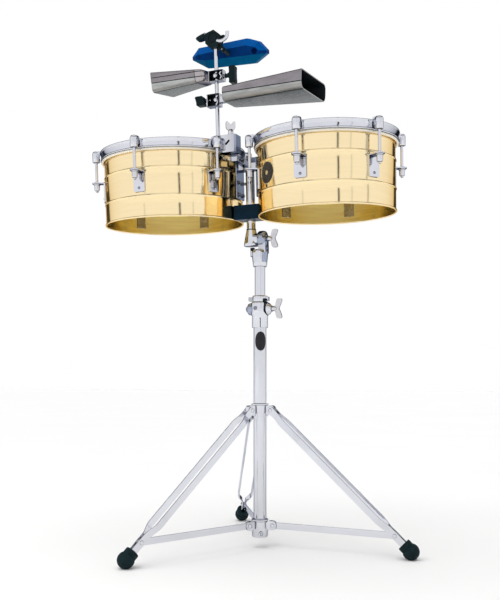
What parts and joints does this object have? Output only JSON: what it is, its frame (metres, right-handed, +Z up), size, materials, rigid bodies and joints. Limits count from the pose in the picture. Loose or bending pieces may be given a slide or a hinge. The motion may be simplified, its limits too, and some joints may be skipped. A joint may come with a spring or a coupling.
{
  "type": "timbales on a stand",
  "caption": "Pair of brass timbales on a folding tripod stand, with cowbells and a jam block on a rod.",
  "frame": {"origin": "on the floor, under the middle of the bounding box", "axes": "+Z up, X along the pair of drums with the smaller drum on +X, -Y towards the audience"},
  "size_m": [0.8234, 0.6952, 1.2671],
  "materials": {
    "polished_brass": "polished",
    "chrome": "polished",
    "brushed_steel": "brushed",
    "drumhead_film": "coated",
    "black_plastic": "satin",
    "blue_plastic": "satin",
    "black_rubber": "matt"
  },
  "bodies": {
    "stand": {"base_tube": "chrome", "leg_collar": "chrome", "height_clamp": "chrome"},
    "height_screw": {"height_wing_screw": "chrome"},
    "spreader": {"spreader_collar": "chrome"},
    "leg_right": {"leg_right": "chrome", "foot_right": "black_rubber"},
    "strut_right": {"strut_right": "chrome"},
    "leg_rear": {"leg_rear": "chrome", "foot_rear": "black_rubber"},
    "strut_rear": {"strut_rear": "chrome"},
    "leg_left": {"leg_left": "chrome", "foot_left": "black_rubber"},
    "strut_left": {"strut_left": "chrome"},
    "upper": {"upper_tube": "chrome", "memory_lock": "chrome", "tilter_base": "chrome"},
    "tilter_screw": {"tilter_wing_screw": "chrome"},
    "rack": {"mast": "chrome", "spacer_block": "black_plastic", "center_bracket": "chrome", "left_shell": "polished_brass", "left_head": "drumhead_film", "right_shell": "polished_brass", "right_head": "drumhead_film"},
    "rod_screw": {"rod_clamp_screw": "chrome"},
    "rod": {"accessory_rod": "chrome"},
    "large_bell": {"large_bell": "brushed_steel"},
    "large_bell_knob": {"large_bell_knob": "black_plastic"},
    "small_bell": {"small_bell": "brushed_steel"},
    "small_bell_knob": {"small_bell_knob": "black_plastic"},
    "block_mount": {"block_clamp": "black_plastic"},
    "jam_block": {"jam_block": "blue_plastic"},
    "block_knob": {"block_knob": "black_plastic"},
    "left_hoop": {"left_hoop": "chrome", "left_hook_1": "chrome", "left_hook_2": "chrome", "left_hook_3": "chrome", "left_hook_4": "chrome", "left_hook_5": "chrome", "left_hook_6": "chrome"},
    "left_nut_1": {"left_nut_1": "chrome"},
    "left_nut_2": {"left_nut_2": "chrome"},
    "left_nut_3": {"left_nut_3": "chrome"},
    "left_nut_4": {"left_nut_4": "chrome"},
    "left_nut_5": {"left_nut_5": "chrome"},
    "left_nut_6": {"left_nut_6": "chrome"},
    "right_hoop": {"right_hoop": "chrome", "right_hook_1": "chrome", "right_hook_2": "chrome", "right_hook_3": "chrome", "right_hook_4": "chrome", "right_hook_5": "chrome", "right_hook_6": "chrome"},
    "right_nut_1": {"right_nut_1": "chrome"},
    "right_nut_2": {"right_nut_2": "chrome"},
    "right_nut_3": {"right_nut_3": "chrome"},
    "right_nut_4": {"right_nut_4": "chrome"},
    "right_nut_5": {"right_nut_5": "chrome"},
    "right_nut_6": {"right_nut_6": "chrome"}
  },
  "joints": [
    {"name": "spreader_slide", "type": "slide", "parent": "stand", "child": "spreader", "axis": [0, 0, 1], "range_m": [0, 0.16888]},
    {"name": "leg_right_fold", "type": "hinge", "parent": "stand", "child": "leg_right", "pos_m": [0.045, 0, 0.343], "axis": [0, 1, 0], "range_deg": [0, 42.97]},
    {"name": "strut_right_turn", "type": "hinge", "parent": "spreader", "child": "strut_right", "pos_m": [0.049, 0, 0.056], "axis": [0, 1, 0], "range_deg": [0, 84.77]},
    {"name": "leg_rear_fold", "type": "hinge", "parent": "stand", "child": "leg_rear", "pos_m": [-0.0015, 0.02685, 0.343], "axis": [-0.866, -0.5, 0], "range_deg": [0, 42.97]},
    {"name": "strut_rear_turn", "type": "hinge", "parent": "spreader", "child": "strut_rear", "pos_m": [-0.0035, 0.03031, 0.056], "axis": [-0.866, -0.5, 0], "range_deg": [0, 84.77]},
    {"name": "leg_left_fold", "type": "hinge", "parent": "stand", "child": "leg_left", "pos_m": [-0.0015, -0.02685, 0.343], "axis": [0.866, -0.5, 0], "range_deg": [0, 42.97]},
    {"name": "strut_left_turn", "type": "hinge", "parent": "spreader", "child": "strut_left", "pos_m": [-0.0035, -0.03031, 0.056], "axis": [0.866, -0.5, 0], "range_deg": [0, 84.77]},
    {"name": "height_slide", "type": "slide", "parent": "stand", "child": "upper", "axis": [0, 0, 1], "range_m": [0, 0.13]},
    {"name": "height_screw_turn", "type": "hinge", "parent": "stand", "child": "height_screw", "pos_m": [0.0475, 0, 0.596], "axis": [1, 0, 0], "range_deg": [0, 360]},
    {"name": "tilter_screw_turn", "type": "hinge", "parent": "upper", "child": "tilter_screw", "pos_m": [0.038, 0, 0.771], "axis": [1, 0, 0], "range_deg": [0, 360]},
    {"name": "rack_tilt", "type": "hinge", "parent": "upper", "child": "rack", "pos_m": [0.009, 0, 0.771], "axis": [1, 0, 0], "range_deg": [-25, 20]},
    {"name": "rod_screw_turn", "type": "hinge", "parent": "rack", "child": "rod_screw", "pos_m": [-0.033, -0.0795, 1.02465], "axis": [0, -0.0605, 0.9982], "range_deg": [0, 360]},
    {"name": "rod_turn", "type": "hinge", "parent": "rack", "child": "rod", "pos_m": [-0.039, -0.07871, 1.01168], "axis": [1, 0, 0], "range_deg": [-15, 15]},
    {"name": "large_bell_swivel", "type": "hinge", "parent": "rod", "child": "large_bell", "pos_m": [-0.065, -0.08416, 1.10151], "axis": [0, -0.0605, 0.9982], "range_deg": [-60, 60]},
    {"name": "large_bell_knob_turn", "type": "hinge", "parent": "large_bell", "child": "large_bell_knob", "pos_m": [-0.104, -0.08416, 1.10151], "axis": [-1, 0, 0], "range_deg": [0, 360]},
    {"name": "small_bell_swivel", "type": "hinge", "parent": "rod", "child": "small_bell", "pos_m": [-0.065, -0.08761, 1.15841], "axis": [0, -0.0605, 0.9982], "range_deg": [-35, 35]},
    {"name": "small_bell_knob_turn", "type": "hinge", "parent": "small_bell", "child": "small_bell_knob", "pos_m": [-0.024, -0.08761, 1.15841], "axis": [1, 0, 0], "range_deg": [0, 360]},
    {"name": "block_swivel", "type": "hinge", "parent": "rod", "child": "block_mount", "pos_m": [-0.065, -0.09269, 1.24225], "axis": [0, -0.0605, 0.9982], "range_deg": [-40, 40]},
    {"name": "block_tilt", "type": "hinge", "parent": "block_mount", "child": "jam_block", "pos_m": [-0.057, -0.06722, 1.21875], "axis": [0, 0.9982, 0.0605], "range_deg": [-3, 15]},
    {"name": "block_knob_turn", "type": "hinge", "parent": "block_mount", "child": "block_knob", "pos_m": [-0.099, -0.09354, 1.25623], "axis": [-1, 0, 0], "range_deg": [0, 360]},
    {"name": "left_hoop_lift", "type": "slide", "parent": "rack", "child": "left_hoop", "axis": [0, -0.0605, 0.9982], "range_m": [0, 0.004]},
    {"name": "left_nut_1_turn", "type": "hinge", "parent": "rack", "child": "left_nut_1", "pos_m": [-0.3953, -0.10774, 0.91374], "axis": [0, -0.0605, 0.9982], "range_deg": [0, 1160]},
    {"name": "left_nut_2_turn", "type": "hinge", "parent": "rack", "child": "left_nut_2", "pos_m": [-0.224, -0.20646, 0.90775], "axis": [0, -0.0605, 0.9982], "range_deg": [0, 1160]},
    {"name": "left_nut_3_turn", "type": "hinge", "parent": "rack", "child": "left_nut_3", "pos_m": [-0.0527, -0.10774, 0.91374], "axis": [0, -0.0605, 0.9982], "range_deg": [0, 1160]},
    {"name": "left_nut_4_turn", "type": "hinge", "parent": "rack", "child": "left_nut_4", "pos_m": [-0.0527, 0.0897, 0.92571], "axis": [0, -0.0605, 0.9982], "range_deg": [0, 1160]},
    {"name": "left_nut_5_turn", "type": "hinge", "parent": "rack", "child": "left_nut_5", "pos_m": [-0.224, 0.18842, 0.9317], "axis": [0, -0.0605, 0.9982], "range_deg": [0, 1160]},
    {"name": "left_nut_6_turn", "type": "hinge", "parent": "rack", "child": "left_nut_6", "pos_m": [-0.3953, 0.0897, 0.92571], "axis": [0, -0.0605, 0.9982], "range_deg": [0, 1160]},
    {"name": "right_hoop_lift", "type": "slide", "parent": "rack", "child": "right_hoop", "axis": [0, -0.0605, 0.9982], "range_m": [0, 0.004]},
    {"name": "right_nut_1_turn", "type": "hinge", "parent": "rack", "child": "right_nut_1", "pos_m": [0.02435, -0.09125, 0.91123], "axis": [0, -0.0605, 0.9982], "range_deg": [0, 1160]},
    {"name": "right_nut_2_turn", "type": "hinge", "parent": "rack", "child": "right_nut_2", "pos_m": [0.1787, -0.19322, 0.90505], "axis": [0, -0.0605, 0.9982], "range_deg": [0, 1160]},
    {"name": "right_nut_3_turn", "type": "hinge", "parent": "rack", "child": "right_nut_3", "pos_m": [0.34435, -0.11078, 0.91005], "axis": [0, -0.0605, 0.9982], "range_deg": [0, 1160]},
    {"name": "right_nut_4_turn", "type": "hinge", "parent": "rack", "child": "right_nut_4", "pos_m": [0.35565, 0.07363, 0.92123], "axis": [0, -0.0605, 0.9982], "range_deg": [0, 1160]},
    {"name": "right_nut_5_turn", "type": "hinge", "parent": "rack", "child": "right_nut_5", "pos_m": [0.2013, 0.17561, 0.92742], "axis": [0, -0.0605, 0.9982], "range_deg": [0, 1160]},
    {"name": "right_nut_6_turn", "type": "hinge", "parent": "rack", "child": "right_nut_6", "pos_m": [0.03565, 0.09317, 0.92242], "axis": [0, -0.0605, 0.9982], "range_deg": [0, 1160]}
  ],
  "couplings": [
    {"joint": "leg_right_fold", "follows": "spreader_slide", "rad_per_m": 4.4402},
    {"joint": "strut_right_turn", "follows": "spreader_slide", "rad_per_m": 8.7599},
    {"joint": "leg_rear_fold", "follows": "spreader_slide", "rad_per_m": 4.4402},
    {"joint": "strut_rear_turn", "follows": "spreader_slide", "rad_per_m": 8.7599},
    {"joint": "leg_left_fold", "follows": "spreader_slide", "rad_per_m": 4.4402},
    {"joint": "strut_left_turn", "follows": "spreader_slide", "rad_per_m": 8.7599},
    {"joint": "left_nut_1_turn", "follows": "left_hoop_lift", "rad_per_m": 5026.5},
    {"joint": "left_nut_2_turn", "follows": "left_hoop_lift", "rad_per_m": 5026.5},
    {"joint": "left_nut_3_turn", "follows": "left_hoop_lift", "rad_per_m": 5026.5},
    {"joint": "left_nut_4_turn", "follows": "left_hoop_lift", "rad_per_m": 5026.5},
    {"joint": "left_nut_5_turn", "follows": "left_hoop_lift", "rad_per_m": 5026.5},
    {"joint": "left_nut_6_turn", "follows": "left_hoop_lift", "rad_per_m": 5026.5},
    {"joint": "right_nut_1_turn", "follows": "right_hoop_lift", "rad_per_m": 5026.5},
    {"joint": "right_nut_2_turn", "follows": "right_hoop_lift", "rad_per_m": 5026.5},
    {"joint": "right_nut_3_turn", "follows": "right_hoop_lift", "rad_per_m": 5026.5},
    {"joint": "right_nut_4_turn", "follows": "right_hoop_lift", "rad_per_m": 5026.5},
    {"joint": "right_nut_5_turn", "follows": "right_hoop_lift", "rad_per_m": 5026.5},
    {"joint": "right_nut_6_turn", "follows": "right_hoop_lift", "rad_per_m": 5026.5}
  ]
}
